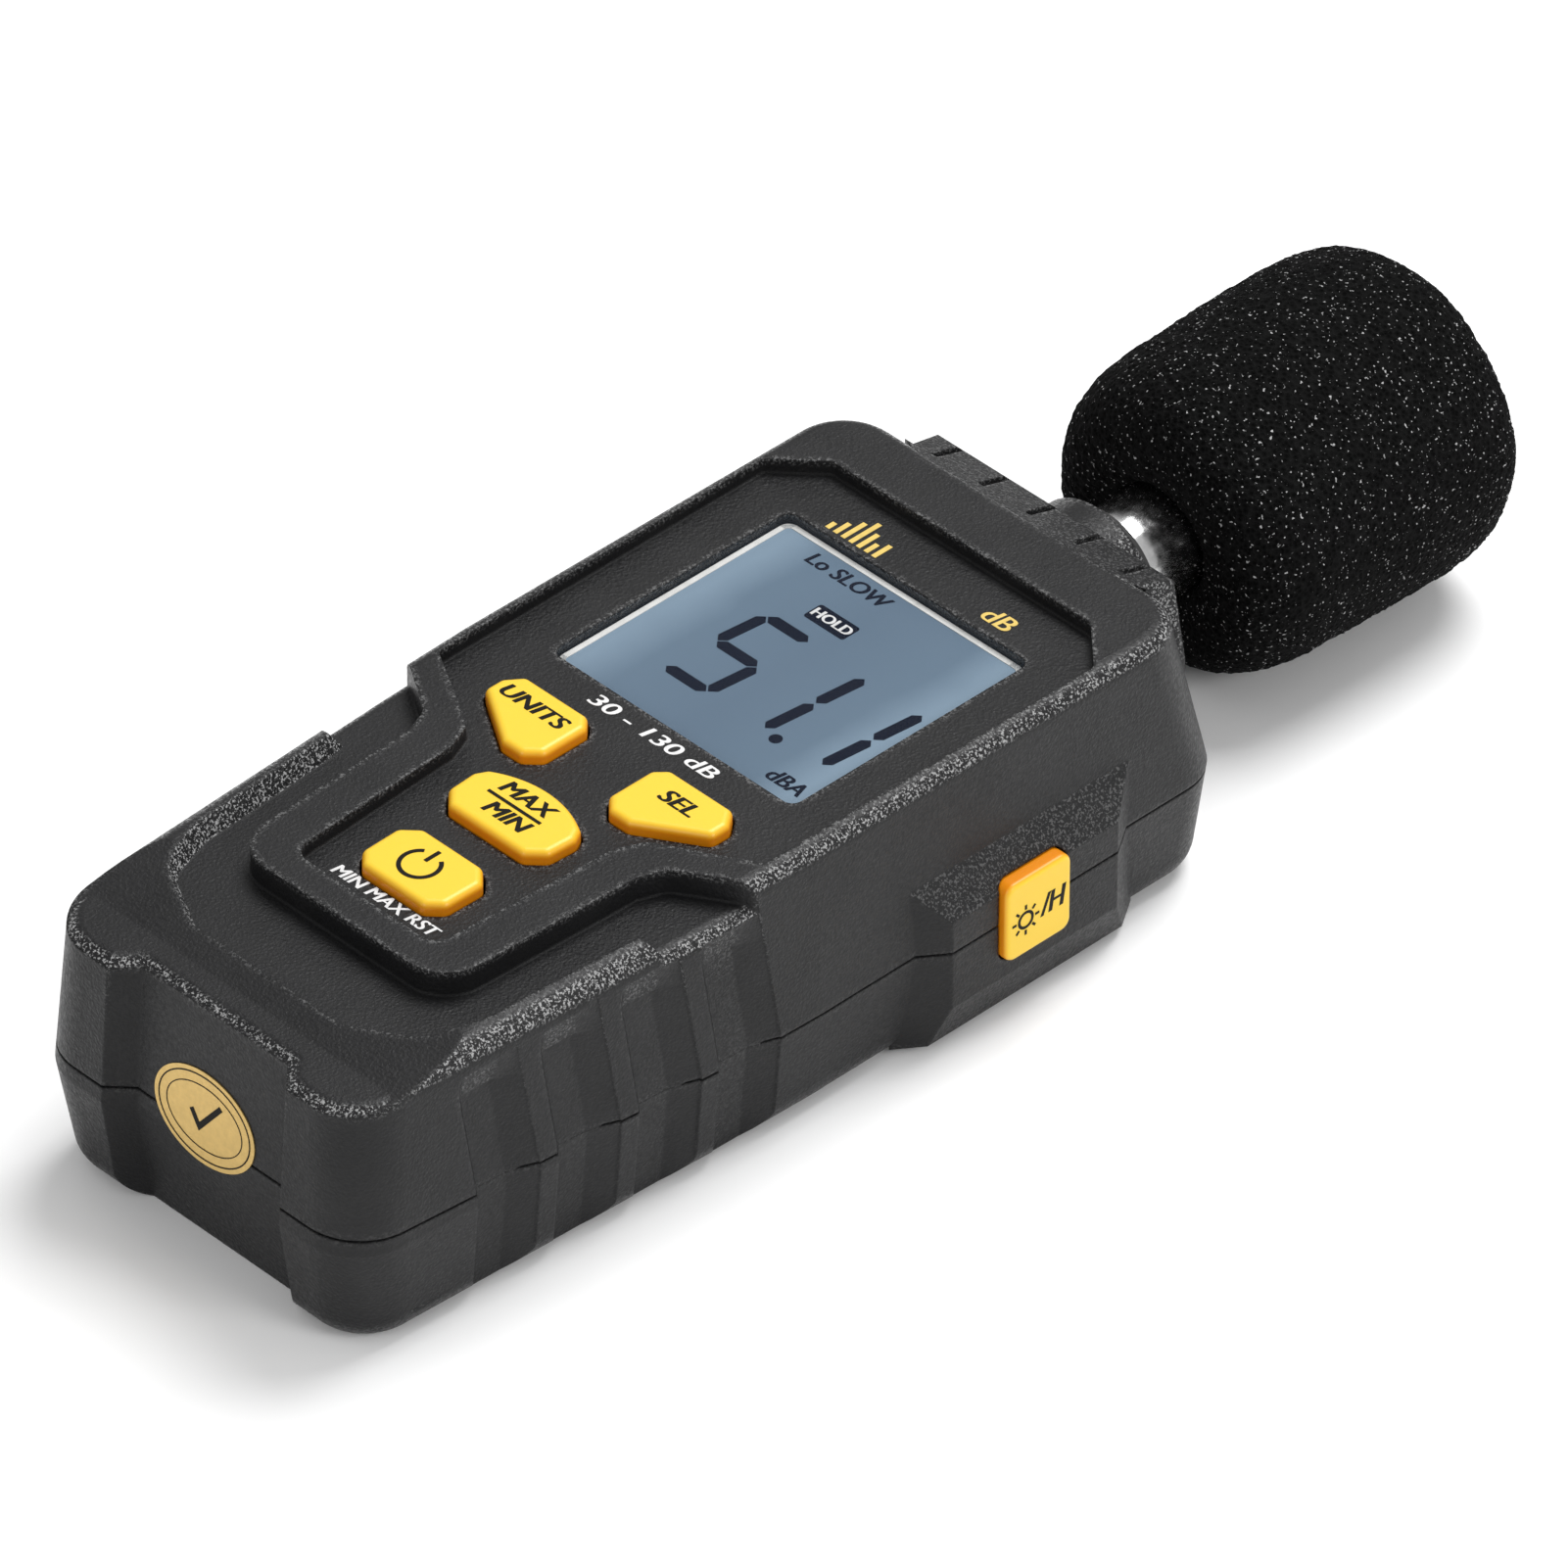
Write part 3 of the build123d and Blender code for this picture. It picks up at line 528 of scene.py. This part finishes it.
LEVEL_HEIGHTS = (1.2, 2.2, 3.4, 4.4, 3.0, 1.8, 2.6)
LEVEL_X, LEVEL_Y, LEVEL_STEP, LEVEL_WIDTH = -13.4, 18.0, 1.15, 0.62
levels = []
for index, height in enumerate(LEVEL_HEIGHTS):
    x = LEVEL_X + index * LEVEL_STEP
    levels.append(rectangle(x, LEVEL_Y, x + LEVEL_WIDTH, LEVEL_Y + height))
level_mesh = moved(flat_mesh("panel_levels", levels, INK), 0, 0, PANEL_Z - SUNK)
add_object("panel_levels", level_mesh, INK_GOLD, "case")

# ------------------------------------------------------------------ display picture
SEGMENTS = {"5": "afgcd", "1": "bc"}
DIGITS = (("5", -5.3), ("1", 3.2), ("1", 11.7))     # and the place of each along the display
DIGITS_Y = -2.6
DIGIT_W, DIGIT_H, STROKE, SLANT, GAP = 6.2, 14.8, 1.45, 0.105, 0.14
POINT_AT, POINT_R = (7.7, -9.6), 0.75
PLATE_AT, PLATE_R = (-2.3, 8.2), 0.35               # the filled plate behind one word
PLATE_CORNERS = ((2.6, 1.0, 0), (-2.6, 1.0, 90), (-2.6, -1.0, 180), (2.6, -1.0, 270))
LCD_LIFT = 0.005 * MM
LCD_WORDS = (       # piece, characters, size, place on the display, shear, ink, lift in mm
    ("lcd_hold", "HOLD", 2.0, PLATE_AT, 0.0, INK_WHITE, 0.03),
    ("lcd_slow", "Lo SLOW", 2.8, (-6.3, 14.3), 0.15, INK_NAVY, 0.0),
    ("lcd_unit", "dBA", 2.9, (13.6, -13.9), 0.15, INK_NAVY, 0.0),
)


def stroke_outline(start, end):
    """Pointed stroke between two points that lie along x or along y."""
    (x0, y0), (x1, y1) = start, end
    half = STROKE / 2
    if y0 == y1:
        return [(x0 + GAP, y0), (x0 + half + GAP, y0 + half), (x1 - half - GAP, y0 + half),
                (x1 - GAP, y0), (x1 - half - GAP, y0 - half), (x0 + half + GAP, y0 - half)]
    return [(x0, y0 + GAP), (x0 + half, y0 + half + GAP), (x0 + half, y1 - half - GAP),
            (x0, y1 - GAP), (x0 - half, y1 - half - GAP), (x0 - half, y0 + half + GAP)]


def segment_outlines(lit):
    """Seven-segment strokes, leaning, in a cell centred on the origin."""
    w = DIGIT_W / 2
    edge = DIGIT_H / 2 - STROKE / 2
    ends = {"a": ((-w, edge), (w, edge)), "g": ((-w, 0), (w, 0)), "d": ((-w, -edge), (w, -edge)),
            "b": ((w, 0), (w, edge)), "c": ((w, -edge), (w, 0)), "f": ((-w, 0), (-w, edge))}
    return [[(x + SLANT * y, y) for x, y in stroke_outline(*ends[key])] for key in lit]


picture = []
for digit, x in DIGITS:
    picture += shifted(segment_outlines(SEGMENTS[digit]), x, DIGITS_Y)
picture += shifted([ring_points(POINT_R, 0, 345, 20)], *POINT_AT)
digits = moved(flat_mesh("lcd_digits", picture, LCD_INK), 0, 0, LCD_FACE + LCD_LIFT)
add_object("lcd_digits", digits, INK_NAVY, "case")

plate_points = []
for x, y, start in PLATE_CORNERS:
    plate_points += [(x + px, y + py) for px, py in ring_points(PLATE_R, start, start + 90, 5)]
plate = flat_mesh("lcd_hold_plate", shifted([plate_points], *PLATE_AT), LCD_INK)
add_object("lcd_hold_plate", moved(plate, 0, 0, LCD_FACE + LCD_LIFT), INK_NAVY, "case")

for name, text, size, (x, y), shear, ink, lift in LCD_WORDS:
    mesh = lettering(name, text, size, LCD_INK, shear, 1.0, 0.08)
    moved(mesh, x * MM, y * MM, LCD_FACE + LCD_INK / 2 + (0.005 + lift) * MM)
    add_object(name, mesh, ink, "case")

# ------------------------------------------------------------------ sticker marks
END_LEAN = math.radians(4.76)       # how far the battery end leans back
sticker = (sticker_low + sticker_high) / 2
sticker_face = facing((sticker.x, sticker.y - 0.07 * MM, sticker.z), (1, 0, 0),
                      (0, -math.cos(END_LEAN), math.sin(END_LEAN)))
TICK = [(-2.2, 0.2), (-0.7, -1.9), (2.6, 2.3), (2.1, 2.7), (-0.7, -0.8), (-1.7, 0.6)]
seal = oval_band(6.9, 5.1, 0.16) + oval_band(5.7, 3.9, 0.12) + [TICK]
seal_mesh = flat_mesh("sticker_marks", seal, 0.03 * MM)
add_object("sticker_marks", placed(seal_mesh, sticker_face), INK_DARK, "case")

# ------------------------------------------------------------------ foam windscreen
BORE = 6.4 * MM
FOAM_R = (foam_high.x - foam_low.x) / 2 + 0.45 * MM
TURNS = 240
POINT_SPACING = 0.5 * MM
FLOOR_GAP = 0.06 * MM
foam_axis = (foam_low.z + foam_high.z) / 2
y0, y1 = foam_low.y, foam_high.y

# in millimetres: how much wider than the bore and how far from the open end, then radius and
# distance from the open end, then radius and distance from the closed end
BORE_LINE = ((0.0, 26), (0.0, 14), (0.0, 4.0), (0.3, 0.9), (2.0, 0.1))
OPEN_END = ((11.5, -0.1), (14.3, 0.6), (16.6, 2.6), (17.9, 5.6), (18.5, 9.5), (18.75, 15))
CLOSED_END = ((18.8, 6.4), (18.2, 4.0), (17.1, 2.0), (15.3, 0.8), (12.5, 0.2), (7.0, 0), (0.0, 0))
profile = ([(BORE + wider * MM, y0 + depth * MM) for wider, depth in BORE_LINE]
           + [(radius * MM, y0 + depth * MM) for radius, depth in OPEN_END]
           + [(FOAM_R, y0 + 22 * MM), (FOAM_R, y1 - 10 * MM)]
           + [(radius * MM, y1 - depth * MM) for radius, depth in CLOSED_END])


def smooth_line(points, spacing):
    """Catmull-Rom line through the points."""
    out = []
    last = len(points) - 1
    for i in range(last):
        a, b, c, d = (Vector(points[min(max(i + k, 0), last)]) for k in (-1, 0, 1, 2))
        steps = max(2, round((c - b).length / spacing))
        for k in range(steps):
            t = k / steps
            out.append(0.5 * ((2 * b) + (c - a) * t + (2 * a - 5 * b + 4 * c - d) * t * t
                              + (3 * b - a - 3 * c + d) * t ** 3))
    out.append(Vector(points[-1]))
    return out


def lathed(name, line):
    """Closed solid of revolution about the windscreen's axis."""
    verts, faces = [], []
    for point in line[:-1]:
        for k in range(TURNS):
            angle = 2 * math.pi * k / TURNS
            verts.append((point.x * math.sin(angle), point.y, foam_axis + point.x * math.cos(angle)))
    for i in range(len(line) - 2):
        for k in range(TURNS):
            a, b = i * TURNS + k, i * TURNS + (k + 1) % TURNS
            faces.append((a, b, b + TURNS, a + TURNS))
    tip = len(verts)
    verts.append((0, line[-1].y, foam_axis))
    last = (len(line) - 2) * TURNS
    for k in range(TURNS):
        faces.append((last + k, last + (k + 1) % TURNS, tip))
    inner = len(verts)
    verts.append((0, line[0].y, foam_axis))
    for k in range(TURNS):
        faces.append(((k + 1) % TURNS, k, inner))
    mesh = bpy.data.meshes.new(name)
    mesh.from_pydata(verts, [], faces)
    mesh.update()
    return mesh


foam_mesh = lathed("windscreen_foam", smooth_line(profile, POINT_SPACING))
bm = bmesh.new()
bm.from_mesh(foam_mesh)
bmesh.ops.recalc_face_normals(bm, faces=bm.faces)
bm.normal_update()
for v in bm.verts:
    radius = math.hypot(v.co.x, v.co.z - foam_axis)
    if radius < BORE + 0.5 * MM and v.co.y < y0 + 27 * MM:
        continue        # the bore stays smooth where it grips the barrel
    lumps = noise.noise(v.co * 90) * 0.22 + noise.noise(v.co * 320) * 0.10
    pores = noise.cell(v.co * 1900) * 0.10 + noise.noise(v.co * 1300) * 0.09
    v.co += v.normal * (lumps + pores - 0.05) * MM
    v.co.z = max(v.co.z, FLOOR_GAP)
for face in bm.faces:
    face.smooth = True
bm.to_mesh(foam_mesh)
bm.free()
foam_piece = add_object("windscreen_foam", foam_mesh, FOAM, "windscreen")
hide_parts("windscreen")

# ------------------------------------------------------------------ stage
FLOOR_REACH = 3.0
LIGHT_TARGET = (0, 0, 0.02)
LIGHTS = (      # name, place, size, watts
    ("key", (-0.05, 0.50, 1.00), 0.70, 11),
    ("side", (0.95, 0.10, 0.60), 0.45, 3.5),
    ("front", (0.15, -1.0, 0.60), 0.50, 2.0),
)
WORLD_STRENGTH = 0.55

floor_mesh = bpy.data.meshes.new("floor")
corners = rectangle(-FLOOR_REACH, -FLOOR_REACH, FLOOR_REACH, FLOOR_REACH)
floor_mesh.from_pydata([(x, y, 0) for x, y in corners], [], [(0, 1, 2, 3)])
floor_mesh.materials.append(pale_floor())
floor = bpy.data.objects.new("floor", floor_mesh)
bpy.context.scene.collection.objects.link(floor)

for name, spot, size, watts in LIGHTS:
    data = bpy.data.lights.new(name, "AREA")
    data.shape = "DISK"
    data.size = size
    data.energy = watts
    light = bpy.data.objects.new(name, data)
    light.location = spot
    light.rotation_euler = (Vector(LIGHT_TARGET) - Vector(spot)).to_track_quat("-Z", "Y").to_euler()
    bpy.context.scene.collection.objects.link(light)

world = bpy.data.worlds.new("world")
bpy.context.scene.world = world
world.use_nodes = True
background = world.node_tree.nodes["Background"]
background.inputs["Color"].default_value = (1, 1, 1, 1)
background.inputs["Strength"].default_value = WORLD_STRENGTH

bpy.context.scene.view_settings.view_transform = "Standard"
